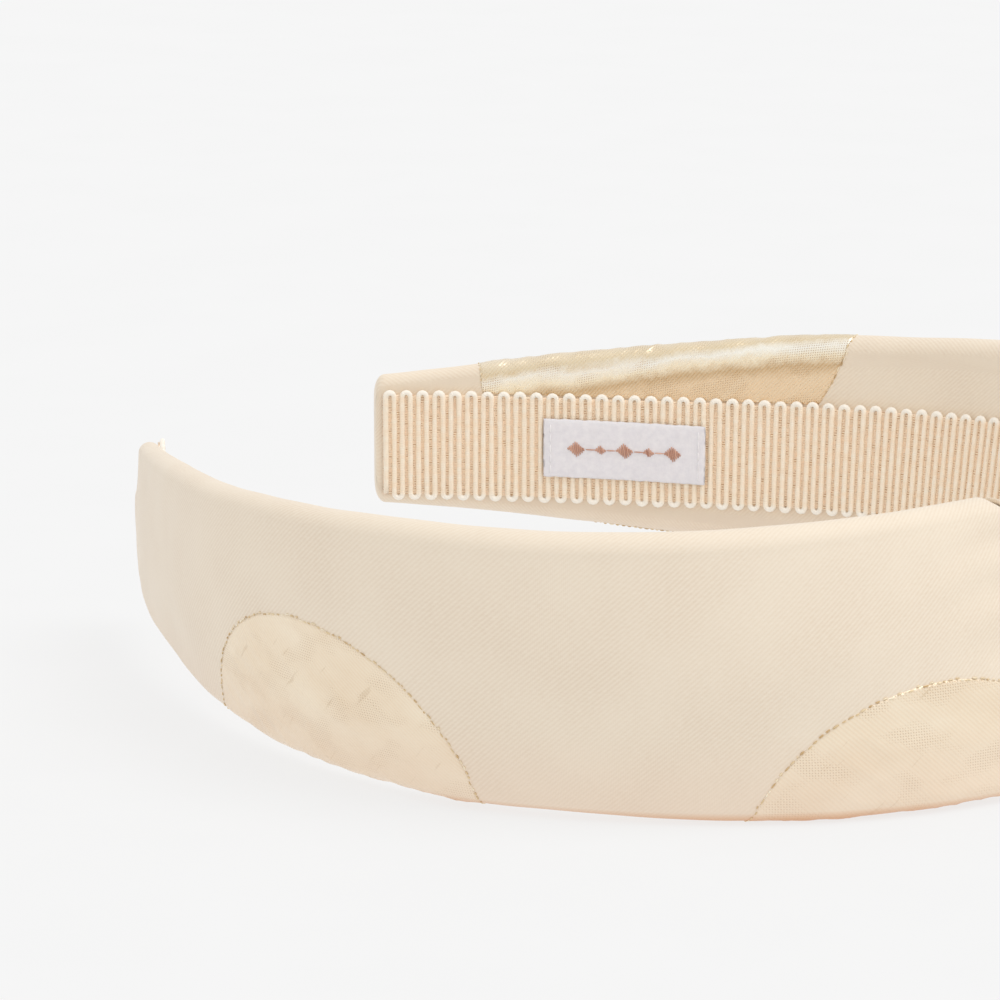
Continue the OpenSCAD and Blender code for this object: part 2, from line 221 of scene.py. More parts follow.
class Waves:
    """A smooth, repeatable unevenness: a few sine waves of chosen lengths and directions."""

    def __init__(self, seed, count, shortest, longest, stretch=1.0):
        dice = random.Random(seed)
        self.waves = []
        for _ in range(count):
            size = shortest * (longest / shortest) ** dice.random()
            angle = dice.uniform(0, math.pi)
            k = 2 * math.pi / size
            start = dice.uniform(0, 6.28)
            self.waves.append((k * math.cos(angle) / stretch, k * math.sin(angle), start))
        self.scale = 1 / math.sqrt(count)

    def __call__(self, x, y):
        return self.scale * sum(np.sin(kx * x + ky * y + p) for kx, ky, p in self.waves)


SOFT = {LEFT: Waves(11, 9, 14, 46, 1.6), RIGHT: Waves(12, 9, 14, 46, 1.6)}
FINE = {LEFT: Waves(21, 12, 4, 11, 1.8), RIGHT: Waves(22, 12, 4, 11, 1.8)}
PLEAT_DRIFT = Waves(31, 5, 18, 40)


def crumple(side, s, a):
    """How far the cloth stands off the smooth sleeve, in millimetres."""
    from_knot = HALF_LENGTH - s
    gather = ease((38 - from_knot) / 26)
    pleats = np.sin(a * 2 * np.pi / 6.4 + 1.1 * PLEAT_DRIFT(from_knot, a) + 0.9 * side)
    soft = 0.14 * SOFT[side](s, a) + 0.035 * FINE[side](s, a)
    tip = 0.03 * ease((16 - s) / 14) * np.sin(a * 1.3 + 0.3 * s)
    return soft + tip + gather * (0.42 * pleats * ease((24 - from_knot) / 16) + 0.16 * pleats)


def settle(side, s, h, n):
    """The right arm's tip slopes off at its upper corner, so the ribbon's loops peep over it."""
    share = 0.0 if side == LEFT else ease((SETTLE_LENGTH - s) / SETTLE_LENGTH)
    up = np.clip(h / half_width(s), 0, 1)
    outer = np.clip((n + edge(s)) / (2 * edge(s)), 0, 1)
    return h - SETTLE_DROP * share * up, n - SETTLE_IN * share * up**2 * outer


def skin(u, q, off=0.0):
    """Points on the crumpled sleeve."""
    s = HALF_LENGTH - np.abs(u)
    side = LEFT if np.mean(u) > 0 else RIGHT
    q = np.asarray(q, float)
    fall = ease((2.0 - np.abs(q)) / 0.5)
    h, n = around(s, q, off + fall * crumple(side, s, a_of(s, q)))
    return place(u, h, n)


# ---------------------------------------------------------------- meshes


def grid_faces(rows, cols, wrap):
    i, j = np.meshgrid(np.arange(rows - 1), np.arange(cols if wrap else cols - 1), indexing="ij")
    k = (j + 1) % cols
    quads = np.stack([i * cols + j, i * cols + k, (i + 1) * cols + k, (i + 1) * cols + j], -1)
    return quads.reshape(-1, 4).tolist()


def volume(points, faces):
    total = 0.0
    for f in faces:
        p = points[f[0]]
        for i in range(1, len(f) - 1):
            total += float(np.dot(p, np.cross(points[f[i]], points[f[i + 1]])))
    return total


def make_piece(name, points, faces, material, slot, s, a):
    """A mesh object in the row frame, with the band's own coordinates kept for its weave."""
    points = np.asarray(points, float).reshape(-1, 3)
    if volume(points - points.mean(0), faces[:: max(1, len(faces) // 4000)]) < 0:
        faces = [f[::-1] for f in faces]
    mesh = bpy.data.meshes.new(name)
    mesh.from_pydata((points * MM).tolist(), [], faces)
    for label, values in (("band_s", s), ("band_a", a)):
        layer = mesh.attributes.new(label, "FLOAT", "POINT")
        layer.data.foreach_set("value", np.asarray(values, np.float32).ravel())
    mesh.shade_smooth()
    mesh.materials.append(material)
    made = bpy.data.objects.new(name, mesh)
    bpy.context.scene.collection.objects.link(made)
    return made


def joined(runs):
    """Several closed runs of rings as one set of points and faces."""
    points, faces, at = [], [], 0
    for rings in runs:
        rows, cols = rings.shape[:2]
        points += [rings.reshape(-1, 3), rings[0].mean(0)[None], rings[-1].mean(0)[None]]
        faces += [[at + i for i in f] for f in grid_faces(rows, cols, True)]
        first, last, base = at + rows * cols, at + rows * cols + 1, at + (rows - 1) * cols
        for j in range(cols):
            k = (j + 1) % cols
            faces.append([first, at + k, at + j])
            faces.append([last, base + j, base + k])
        at += rows * cols + 2
    return np.concatenate(points), faces


def loft(name, rings, material, slot, s, a):
    """A closed skin over a run of rings, with a point in the middle of each end."""
    rings = np.asarray(rings, float)
    points, faces = joined([rings])
    coords = []
    for values in (s, a):
        values = np.broadcast_to(values, rings.shape[:2])
        coords.append(np.concatenate([values.ravel(), [values[0].mean(), values[-1].mean()]]))
    return make_piece(name, points, faces, material, slot, *coords)


def tube_rings(path, radius, sides, across=None, flatten=1.0):
    """Rings round a path; across is a direction that the section's first axis keeps to."""
    path = np.asarray(path, float)
    along = np.gradient(path, axis=0)
    along /= np.linalg.norm(along, axis=1)[:, None]
    guide = np.broadcast_to([0, 0, 1.0] if across is None else across, path.shape)
    one = guide - (guide * along).sum(1)[:, None] * along
    one /= np.linalg.norm(one, axis=1)[:, None]
    two = np.cross(along, one)
    radius = np.broadcast_to(radius, len(path))[:, None, None]
    angle = np.arange(sides) * 2 * np.pi / sides
    c, d = np.cos(angle)[None, :, None], flatten * np.sin(angle)[None, :, None]
    return path[:, None] + radius * (c * one[:, None] + d * two[:, None])


def marks(runs, values):
    """One value for each run of rings, given to all of the run's points."""
    return np.repeat(values, [len(r) * len(r[0]) + 2 for r in runs])


def round_patch(rows, cols):
    """Faces of a thin round: top rings, then the same below, then the two middle points."""
    count, rim = rows * cols, (rows - 1) * cols
    upper = grid_faces(rows, cols, True)
    faces = upper + [[i + count for i in f[::-1]] for f in upper]
    for j in range(cols):
        k = (j + 1) % cols
        faces.append([2 * count, k, j])
        faces.append([2 * count + 1, count + j, count + k])
        faces.append([rim + j, rim + k, rim + k + count, rim + j + count])
    return upper, faces


# ---------------------------------------------------------------- baking a piece's placement into its mesh


def bend_with_arm(piece):
    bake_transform(piece)


# ---------------------------------------------------------------- materials


def linear(red, green, blue):
    """A colour as it is seen, 0 to 255, as the shader wants it."""
    return tuple(((c / 255 + 0.055) / 1.055) ** 2.4 for c in (red, green, blue)) + (1.0,)


class Nodes:
    """Short names for the shader nodes that the materials share."""

    def __init__(self, name, roughness, **fixed):
        self.material = bpy.data.materials.new(name)
        self.material.use_nodes = True
        self.tree = self.material.node_tree
        self.shader = self.tree.nodes["Principled BSDF"]
        self.shader.inputs["Roughness"].default_value = roughness
        for socket, value in fixed.items():
            self.shader.inputs[socket.replace("_", " ")].default_value = value

    def add(self, kind, **settings):
        node = self.tree.nodes.new(kind)
        for key, value in settings.items():
            setattr(node, key, value)
        return node

    def link(self, value, socket):
        if isinstance(value, bpy.types.NodeSocket):
            self.tree.links.new(value, socket)
        else:
            socket.default_value = value

    def band(self, name):
        return self.add("ShaderNodeAttribute", attribute_name=name).outputs["Fac"]

    def math(self, operation, *values):
        node = self.add("ShaderNodeMath", operation=operation)
        for socket, value in zip(node.inputs, values):
            self.link(value, socket)
        return node.outputs[0]

    def along(self, s, a, angle, pitch):
        """Turns round for each pitch along a direction on the cloth."""
        x = self.math("MULTIPLY", s, 2 * math.pi * math.cos(angle) / pitch)
        y = self.math("MULTIPLY", a, 2 * math.pi * math.sin(angle) / pitch)
        return self.math("ADD", x, y)

    def lines(self, s, a, angle, pitch):
        return self.math("SINE", self.along(s, a, angle, pitch))

    def noise(self, s, a, scale, detail=2.0, rough=0.5, stretch=1.0):
        """Noise over the cloth's own plane."""
        where = self.add("ShaderNodeCombineXYZ")
        self.link(self.math("MULTIPLY", s, 1 / stretch), where.inputs[0])
        self.link(a, where.inputs[1])
        node = self.add("ShaderNodeTexNoise")
        self.link(where.outputs[0], node.inputs["Vector"])
        node.inputs["Scale"].default_value = scale
        node.inputs["Detail"].default_value = detail
        node.inputs["Roughness"].default_value = rough
        return node.outputs["Fac"]

    def ramp(self, value, *stops):
        node = self.add("ShaderNodeValToRGB")
        self.link(value, node.inputs[0])
        elements = node.color_ramp.elements
        while len(elements) < len(stops):
            elements.new(0.5)
        for element, (position, colour) in zip(elements, stops):
            element.position = position
            element.color = colour
        return node.outputs["Color"]

    def mix(self, share, one, two):
        node = self.add("ShaderNodeMix", data_type="RGBA")
        self.link(share, node.inputs[0])
        self.link(one, node.inputs[6])
        self.link(two, node.inputs[7])
        return node.outputs[2]

    def span(self, value, low, high, out_low=0.0, out_high=1.0):
        node = self.add("ShaderNodeMapRange")
        for socket, v in zip(node.inputs, (value, low, high, out_low, out_high)):
            self.link(v, socket)
        return node.outputs[0]

    def painted_floor_light(self, tone):
        """Painted warm bounce light low down, and a painted amber contact shade at the floor."""
        split = self.add("ShaderNodeSeparateXYZ")
        self.link(self.add("ShaderNodeTexCoord").outputs["Object"], split.inputs[0])
        # painted bounce light: rosier over the lowest 12 mm
        painted_bounce = self.span(split.outputs[2], 0.001, 0.012, 0.45, 0.0)
        tone = self.mix(painted_bounce, tone, linear(240, 214, 192))
        # painted contact shade: amber over the lowest 2 mm
        painted_contact_shade = self.span(split.outputs[2], 0.0005, 0.002, 0.95, 0.0)
        return self.mix(painted_contact_shade, tone, linear(218, 152, 92))

    def bump(self, height, distance, strength=1.0):
        node = self.add("ShaderNodeBump")
        node.inputs["Strength"].default_value = strength
        node.inputs["Distance"].default_value = distance * MM
        self.link(height, node.inputs["Height"])
        self.tree.links.new(node.outputs[0], self.shader.inputs["Normal"])

    def colour(self, value):
        self.link(value, self.shader.inputs["Base Color"])

    def rough(self, value):
        self.link(value, self.shader.inputs["Roughness"])


TWILL_PITCH = 0.46
TWILL_ANGLE = math.radians(134)
HATCH_PITCH = 0.44
HATCH_ANGLE = math.radians(46)


def ivory_twill():
    m = Nodes("ivory_twill", 0.62, Sheen_Weight=0.25, Sheen_Roughness=0.45,
              Specular_IOR_Level=0.35)
    s, a = m.band("band_s"), m.band("band_a")
    twill = m.lines(s, a, TWILL_ANGLE, TWILL_PITCH)
    weft = m.lines(s, a, 0.0, 0.2)
    uneven = m.noise(s, a, 3.2, 3.0, 0.6, 2.2)
    cloudy = m.noise(s, a, 0.09, 2.0)
    tone = m.ramp(cloudy, (0.35, linear(231, 213, 190)), (0.65, linear(237, 221, 199)))
    shade = m.math("ADD", m.math("MULTIPLY", twill, 0.10), m.math("MULTIPLY", uneven, 0.42))
    tone = m.mix(m.span(shade, 0.02, 0.42), tone, linear(244, 231, 212))
    m.colour(m.painted_floor_light(tone))
    m.rough(m.span(uneven, 0.3, 0.7, 0.54, 0.7))
    weave = m.math("ADD", m.math("MULTIPLY", twill, 0.6), m.math("MULTIPLY", weft, 0.25))
    m.bump(m.math("ADD", weave, uneven), 0.015, 0.75)
    return m.material


def lame(name, roughness, metallic, tone_of, strength):
    """Cloth with a metal thread: fine hatching, a few checked patches and slubs."""
    m = Nodes(name, roughness, Metallic=metallic, Specular_IOR_Level=0.6, Sheen_Weight=0.1)
    s, a = m.band("band_s"), m.band("band_a")
    hatch = m.lines(s, a, HATCH_ANGLE, HATCH_PITCH)
    thread = m.lines(s, a, HATCH_ANGLE - math.pi / 2, 0.5)
    glints = m.noise(s, a, 2.6, 2.0, 0.7, 1.3)
    tone = tone_of(m, s, a)
    tone = m.mix(m.span(hatch, -1.2, 1.6, 0.0, 0.35), tone, linear(254, 246, 228))
    patch = m.span(m.noise(s, a, 0.22, 2.0, 0.5, 1.6), 0.5, 0.62)
    checks = m.span(m.math("MULTIPLY", hatch, thread), 0.2, 0.9)
    dark = m.math("MULTIPLY", m.math("MULTIPLY", checks, patch), strength)
    tone = m.mix(dark, tone, linear(176, 140, 98))
    m.colour(m.painted_floor_light(tone))
    m.rough(m.span(glints, 0.35, 0.7, roughness + 0.08, roughness - 0.1))
    height = m.math("ADD", m.math("MULTIPLY", hatch, 0.6), m.math("MULTIPLY", thread, 0.3))
    m.bump(m.math("ADD", height, m.math("MULTIPLY", glints, 1.4)), 0.018, 0.8)
    return m.material


def pale_lame():
    def tone(m, s, a):
        cloudy = m.noise(s, a, 0.16, 3.0, 0.5, 1.5)
        plain = m.ramp(cloudy, (0.3, linear(240, 218, 188)), (0.7, linear(247, 230, 204)))
        slant, over = m.math("ADD", s, a), m.math("SUBTRACT", s, a)
        slub = m.span(m.noise(slant, over, 0.9, 2.0, 0.6, 9.0), 0.66, 0.72)
        return m.mix(m.math("MULTIPLY", slub, 0.35), plain, linear(205, 176, 136))
    return lame("pale_lame", 0.42, 0.4, tone, 0.5)


def sheen_painted_lame():
    """The same cloth over the edge, with a painted highlight band and painted shade bands."""
    def tone(m, s, a):
        wander = m.span(m.noise(s, a, 0.12, 3.0, 0.6, 2.5), 0.3, 0.7, -0.8, 0.8)
        fine = m.span(m.noise(s, a, 0.7, 3.0, 0.7, 0.8), 0.3, 0.7, -0.3, 0.3)
        at = m.math("ADD", a, m.math("ADD", wander, fine))
        # the ramp paints a highlight band (255, 252, 242) and darker painted shade bands across a
        return m.ramp(m.span(at, 0.0, 13.0),
                      (0.20, linear(238, 222, 196)), (0.38, linear(228, 208, 172)),
                      (0.48, linear(255, 252, 242)), (0.58, linear(253, 240, 212)),
                      (0.68, linear(206, 172, 124)), (0.80, linear(240, 212, 174)))
    return lame("sheen_painted_lame", 0.32, 0.45, tone, 0.8)


def gold_stitch():
    m = Nodes("gold_stitch", 0.4, Metallic=0.15, Specular_IOR_Level=0.5)
    s, a = m.band("band_s"), m.band("band_a")
    flecks = m.noise(s, a, 2.2, 2.0, 0.6)
    m.colour(m.ramp(flecks, (0.36, linear(206, 172, 122)),
                    (0.50, linear(232, 208, 164)), (0.62, linear(253, 243, 220))))
    m.bump(m.lines(s, a, math.radians(40), 0.16), 0.02, 0.7)
    return m.material


def ribbon_cord():
    m = Nodes("ribbon_cord", 0.66, Sheen_Weight=0.3, Sheen_Roughness=0.4)
    s, a = m.band("band_s"), m.band("band_a")
    wound = m.lines(s, a, math.radians(76), 0.24)
    patchy = m.noise(s, a, 0.8, 3.0, 0.6)
    rib = m.ramp(patchy, (0.3, linear(254, 234, 208)), (0.7, linear(255, 243, 224)))
    edge_share = m.span(m.math("ABSOLUTE", a), 6.9, 7.5)
    m.colour(m.mix(edge_share, rib, linear(254, 247, 235)))
    m.bump(m.math("ADD", wound, patchy), 0.03, 0.5)
    return m.material


def ribbon_tape():
    m = Nodes("ribbon_tape", 0.75, Sheen_Weight=0.2)
    s, a = m.band("band_s"), m.band("band_a")
    rungs = m.lines(s, a, math.pi / 2, 0.34)
    broken = m.noise(s, a, 1.1, 2.0, 0.7)
    tone = m.ramp(broken, (0.35, linear(255, 226, 196)), (0.65, linear(255, 236, 210)))
    dark = m.math("MULTIPLY", m.span(rungs, 0.1, 0.8), m.span(broken, 0.48, 0.62))
    m.colour(m.mix(dark, tone, linear(206, 160, 116)))
    m.bump(rungs, 0.05, 0.8)
    return m.material


def fine_weave(name, one, two, roughness, pitch, grain):
    """A close even texture whose colour wanders between two near tones."""
    m = Nodes(name, roughness)
    s, a = m.band("band_s"), m.band("band_a")
    warp, weft = m.lines(s, a, 0.0, pitch), m.lines(s, a, math.pi / 2, pitch)
    patchy = m.noise(s, a, grain, 3.0, 0.6)
    m.colour(m.ramp(patchy, (0.35, one), (0.65, two)))
    m.bump(m.math("ADD", m.math("ADD", warp, weft), patchy), 0.012, 0.7)
    return m.material


def label_satin():
    m = Nodes("label_satin", 0.42, Sheen_Weight=0.2, Specular_IOR_Level=0.5)
    s, a = m.band("band_s"), m.band("band_a")
    warp, weft = m.lines(s, a, 0.0, 0.22), m.lines(s, a, math.pi / 2, 0.15)
    patchy = m.noise(s, a, 1.0, 3.0, 0.6)
    m.colour(m.ramp(patchy, (0.3, linear(232, 229, 234)), (0.7, linear(243, 240, 243))))
    m.bump(m.math("ADD", m.math("MULTIPLY", warp, 0.5), weft), 0.012, 0.7)
    return m.material


def thread(name, one, two, metallic=0.0):
    m = Nodes(name, 0.5, Metallic=metallic, Sheen_Weight=0.2)
    s, a = m.band("band_s"), m.band("band_a")
    patchy = m.noise(s, a, 2.4, 2.0, 0.6)
    m.colour(m.ramp(patchy, (0.35, one), (0.65, two)))
    m.bump(m.lines(s, a, math.radians(35), 0.14), 0.02, 0.8)
    return m.material


def floor_paper():
    m = Nodes("floor_paper", 0.95, Specular_IOR_Level=0.0, Emission_Strength=0.755,
              Emission_Color=(1.0, 1.0, 1.0, 1.0))
    coordinates = m.add("ShaderNodeTexCoord").outputs["Object"]
    grain = m.add("ShaderNodeTexNoise")
    m.link(coordinates, grain.inputs["Vector"])
    grain.inputs["Scale"].default_value = 40.0
    white = 0.150
    low, high = (white - 0.002,) * 3 + (1.0,), (white + 0.002,) * 3 + (1.0,)
    m.colour(m.ramp(grain.outputs["Fac"], (0.4, low), (0.6, high)))
    return m.material


IVORY = ivory_twill()
GOLD = pale_lame()
# the lamé with a painted highlight band and painted shade bands
GOLD_PAINTED_SHEEN = sheen_painted_lame()
GOLD_STITCH = gold_stitch()
RIB_CORD = ribbon_cord()
TAPE = ribbon_tape()
STRIP = fine_weave("strip_plastic", linear(206, 206, 208), linear(216, 216, 218), 0.35, 3.0, 0.3)
WADDING = fine_weave("wadding", linear(236, 226, 196), linear(246, 238, 212), 0.95, 0.8, 0.9)
LABEL = label_satin()
ROSE_THREAD = thread("rose_thread", linear(188, 138, 118), linear(222, 178, 156), 0.35)
IVORY_THREAD = thread("ivory_thread", linear(238, 226, 206), linear(250, 242, 226))
WHITE_THREAD = thread("white_thread", linear(232, 230, 234), linear(248, 246, 248))

# ---------------------------------------------------------------- inside the sleeves


def stations(near, far, pitch):
    return np.linspace(near, far, int(round((far - near) / pitch)) + 1)


def boxed(h0, h1, n0, n1, c):
    """A strip's section with its corners taken off."""
    h = [h0 + c, h1 - c, h1, h1, h1 - c, h0 + c, h0, h0]
    n = [n1, n1, n1 - c, n0 + c, n0, n0, n0 + c, n1 - c]
    return np.stack(np.broadcast_arrays(*h), -1), np.stack(np.broadcast_arrays(*n), -1)


def strip(side_name, side):
    """The flat springy strip that gives the band its shape."""
    u = stations(0.3, HALF_LENGTH - 3, 3.0)
    s = HALF_LENGTH - u
    room = edge(s) - FABRIC - GAP
    top = room * math.cos(math.radians(84.6)) - 2 * GAP
    h, n = boxed(-flat(s) + 0.4, flat(s) - 0.4, -room + 0.1, top, 0.25)
    h, n = settle(side, s[:, None], h, n)
    rings = place(side * u[:, None], h, n)
    piece = loft(f"strip_{side_name}", rings, STRIP, "spring_strip", s[:, None], h)
    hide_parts(f"hoop_{side_name}_arm", *(["hoop_crown"] if side == LEFT else []))
    bend_with_arm(piece)


def padding(side_name, side):
    """The soft wadding between the strip and the outer face."""
    u = stations(0.3, HALF_LENGTH - 3, 3.0)
    s = HALF_LENGTH - u
    q = np.linspace(-1.46, 1.46, 25)
    h, n = settle(side, s[:, None], *around(s[:, None], q, -FABRIC - 3 * GAP))
    rings = place(side * u[:, None], h, n)
    piece = loft(f"padding_{side_name}", rings, WADDING, "foam", s[:, None], h)
    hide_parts(f"foam_{side_name}_arm", *(["foam_crown"] if side == LEFT else []))
    bend_with_arm(piece)


# ---------------------------------------------------------------- the satin sleeves

FACE_CELLS, RIM_CELLS, UNDER_CELLS = 60, 18, 14
TIP_ROUND = 1.4


def sleeve_q():
    face = np.linspace(-1, 1, FACE_CELLS + 1)
    rim = 1 + np.arange(1, RIM_CELLS + 1) / RIM_CELLS
    return np.concatenate([-rim[::-1], face, rim])


def sleeve(side_name, side):
    """One half of the cover, from its closed tip to under the knot."""
    near_tip = HALF_LENGTH - np.array([2.4, 1.9, 1.4])
    u = np.concatenate([stations(0.2, HALF_LENGTH - 3, 0.6), near_tip])
    end_turn = np.linspace(0.15, 1, 7) * np.pi / 2
    u = np.concatenate([u, HALF_LENGTH - TIP_ROUND + TIP_ROUND * np.sin(end_turn)])
    shrink = np.ones((len(u), 1))
    shrink[-len(end_turn):, 0] = 0.74 + 0.26 * np.cos(end_turn)
    s = (HALF_LENGTH - u)[:, None]
    q = sleeve_q()
    a = a_of(s, q)
    fall = ease((2.0 - np.abs(q)) / 0.5)
    h, n = around(s, q, fall * crumple(side, s, a))
    under = np.linspace(1, -1, UNDER_CELLS + 1)[1:-1]
    below = flat(s) * under
    h = np.concatenate([h, below], 1) * shrink
    n = np.concatenate([n, -edge(s) + 0 * below], 1) * shrink
    a = np.concatenate([a, below], 1)
    h, n = settle(side, s, h, n)
    rings = place(side * u[:, None], h, n)
    piece = loft(f"sleeve_{side_name}", rings, IVORY, "satin", np.broadcast_to(s, a.shape), a)
    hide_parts(f"cover_{side_name}_arm", f"cover_{side_name}_crown")
    bend_with_arm(piece)


# ---------------------------------------------------------------- gold dots

DOT_LIFT = 0.10
DOT_HIDE = 0.06
DOT_END = HALF_LENGTH - 5
KNOT_EDGE, FLEX_EDGE = 9, FLEX_U


def round_reach(s, sign):
    """The developed distance, up or down from the middle, at which a dot meets the ribbon."""
    room = flat(s) - sign * ribbon_mid(s) - RIBBON_WIDTH / 2 + 0.35
    return flat(s) + rim_length(s) + np.maximum(room, 0.0)


def within_reach(s, a):
    reach = round_reach(s, np.sign(a))
    return np.where(np.abs(a) > reach, np.sign(a) * (reach + 0.01 * (np.abs(a) - reach)), a)


def dot_wrinkles(at, side):
    seed = int(abs(at) * 10) + (3 if side == LEFT else 5)
    creases, slow = Waves(seed, 9, 2.4, 6.5, 1.0), Waves(seed + 50, 6, 9, 20, 1.0)
    c, d = math.cos(math.radians(38)), math.sin(math.radians(38))

    def height(u, a):
        along, over = (c * u + d * a) / 3.4, -d * u + c * a
        return 0.16 * (0.6 - np.abs(creases(along, over))) + 0.09 * slow(u, a)

    return height


def dot(name, side, at, across, radius, near, cloth=None):
    """A thin round of gold cloth that follows the sleeve, with its sewn edge."""
    rows, cols = int(radius / 0.45), int(2 * np.pi * radius / 0.7)
    r = radius * np.linspace(0, 1, rows + 1)[1:, None]
    angle = np.arange(cols) * 2 * np.pi / cols
    u = np.clip(at + r * np.cos(angle), near, DOT_END)
    s = HALF_LENGTH - u
    a = within_reach(s, across + r * np.sin(angle))
    puff = dot_wrinkles(at, side)(u, a) * ease((radius - r) / 2.5)
    lift = DOT_LIFT - (DOT_LIFT - 0.03) * ease((r - radius + 0.7) / 0.7)
    top = skin(side * u, q_of(s, a), lift + np.maximum(puff, -0.04))
    low = skin(side * u, q_of(s, a), -DOT_HIDE + 0 * lift)
    centre_s = HALF_LENGTH - at
    middle = [skin(np.array(side * at), q_of(centre_s, across), x) for x in (DOT_LIFT, -DOT_HIDE)]
    points = np.concatenate([top.reshape(-1, 3), low.reshape(-1, 3), middle])
    upper, faces = round_patch(rows, cols)
    both_s = np.concatenate([s.ravel(), s.ravel(), [centre_s, centre_s]])
    both_a = np.concatenate([a.ravel(), a.ravel(), [across, across]])
    # a given cloth has painted sheen bands, measured in a from the flat face's edge
    if cloth:
        both_a = both_a - flat(both_s)
    piece = make_piece(f"{name}_cloth", points, faces, cloth or GOLD, "gold_lame", both_s, both_a)
    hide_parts(name)
    stitches = dot_edge(name, side, at, across, radius, near)
    bend_with_arm(piece)
    bend_with_arm(stitches)


def dot_edge(name, side, at, across, radius, near):
    """Short stitches of gold thread all round a dot."""
    dice = random.Random(name)
    runs, marks_s, marks_a = [], [], []
    angle = 0.0
    while angle < 2 * math.pi - 0.02:
        length = dice.uniform(0.25, 0.8) / radius
        turn = np.linspace(angle, min(angle + length, 2 * math.pi - 0.01), 5)
        angle = turn[-1] + dice.uniform(0.1, 0.45) / radius
        reach = radius + dice.uniform(-0.16, 0.16)
        u, a = at + reach * np.cos(turn), across + reach * np.sin(turn)
        q = q_of(HALF_LENGTH - u, a)
        hidden = np.abs(a) > round_reach(HALF_LENGTH - u, np.sign(a)) - 0.3
        if u.min() < near or u.max() > DOT_END or hidden.any():
            continue
        thick = dice.uniform(0.06, 0.10) * np.array([0.4, 1, 1.1, 1, 0.4])
        path = skin(side * u, q, 0.05 + 0.04 * np.sin(np.linspace(0, np.pi, 5)))
        runs.append(tube_rings(path, thick, 6))
        marks_s.append(HALF_LENGTH - u.mean())
        marks_a.append(a.mean())
    points, faces = joined(runs)
    return make_piece(f"{name}_stitches", points, faces, GOLD_STITCH, "gold_lame",
                      marks(runs, marks_s), marks(runs, marks_a))


# ---------------------------------------------------------------- the ribbed lining ribbon

RIB_PITCH = 1.18
CORD_RADIUS = 0.35
TAPE_THICK = 0.55
RIBBON_END = HALF_LENGTH - 0.9


def ribbon_line(side, s):
    """The ribbon's middle; on the right arm it was sewn a little high at the tip."""
    return ribbon_mid(s) + (0.9 * ease((14 - s) / 14) if side == RIGHT else 0.0)


def lining_tape(side_name, side):
    """The flat tape that the ribs stand on."""
    u = stations(0.0, RIBBON_END, 1.0)
    s = HALF_LENGTH - u
    m, w, face = ribbon_line(side, s), RIBBON_WIDTH / 2 - 0.75, ribbon_face(s)
    h, n = boxed(m - w, m + w, face - TAPE_THICK, face, 0.1)
    rings = place(side * u[:, None], h, n)
    return loft(f"ribbon_{side_name}", rings, TAPE, "ribbed_ribbon", s[:, None], h)


def cord_path(side):
    """The ribs' one thick cord, up and down across the ribbon, turning at each edge."""
    dice = random.Random(40 + side)
    top, turn_r = RIBBON_WIDTH / 2 - CORD_RADIUS, RIB_PITCH / 2
    at, direction = RIBBON_END - CORD_RADIUS - 0.1, 1
    u, h = [], []
    while at > 0.2:
        sway = dice.uniform(-0.05, 0.05)
        across = np.linspace(-1, 1, 9) * (top - turn_r)
        u += list(at + sway * np.sin(np.linspace(0, np.pi, 9)))
        h += list(direction * across)
        if at - RIB_PITCH <= 0.2:
            break
        turn = np.linspace(0, np.pi, 7)[1:-1]
        reach = turn_r * dice.uniform(0.94, 1.12)
        u += list(at - turn_r + turn_r * np.cos(turn))
        h += list(direction * (top - turn_r + reach * np.sin(turn)))
        at -= RIB_PITCH
        direction = -direction
    return np.array(u), np.array(h)


def lining_ribs(side_name, side):
    u, across = cord_path(side)
    s = HALF_LENGTH - u
    h = ribbon_line(side, s) + across
    drop = TAPE_THICK + CORD_RADIUS * 0.25
    path = place(side * u, h, ribbon_face(s) - drop)
    outward = place(side * u, h, ribbon_face(s) - drop + 1) - path
    swell = 1 + 0.08 * Waves(70 + side, 8, 2, 9)(u, across)
    rings = tube_rings(path, CORD_RADIUS * swell, 8, outward, 1.08)
    wide = np.broadcast_to(across[:, None], rings.shape[:2])
    return loft(f"ribbon_{side_name}_ribs", rings, RIB_CORD, "ribbed_ribbon", s[:, None], wide)


def lining(side_name, side):
    tape, ribs = lining_tape(side_name, side), lining_ribs(side_name, side)
    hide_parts(f"lining_{side_name}_arm", *(["lining_crown"] if side == LEFT else []))
    bend_with_arm(tape)
    bend_with_arm(ribs)


# ---------------------------------------------------------------- the label

LABEL_THICK = 0.3
LABEL_OFF = RIBBON_THICK + 0.06
LABEL_ROWS, LABEL_COLS = 34, 74


def label_mid(s):
    return ribbon_mid(LABEL_AT) - (s - LABEL_AT) * math.tan(LABEL_SKEW)


def label_place(s, across, off):
    """A point on the label: s along the arm, across from its middle, off from the ribs."""
    lift = 0.10 * (1 - np.cos((s - LABEL_AT) / LABEL_LENGTH * 2 * np.pi * 1.5)) / 2
    corner = np.clip(np.abs(s - LABEL_AT) / (LABEL_LENGTH / 2), 0, 1) ** 8
    curl = 0.12 * corner * np.clip(np.abs(across) / (LABEL_HEIGHT / 2), 0, 1) ** 4
    n = ribbon_face(s) - LABEL_OFF - off - lift - curl
    return place(HALF_LENGTH - s, label_mid(s) + across, n)


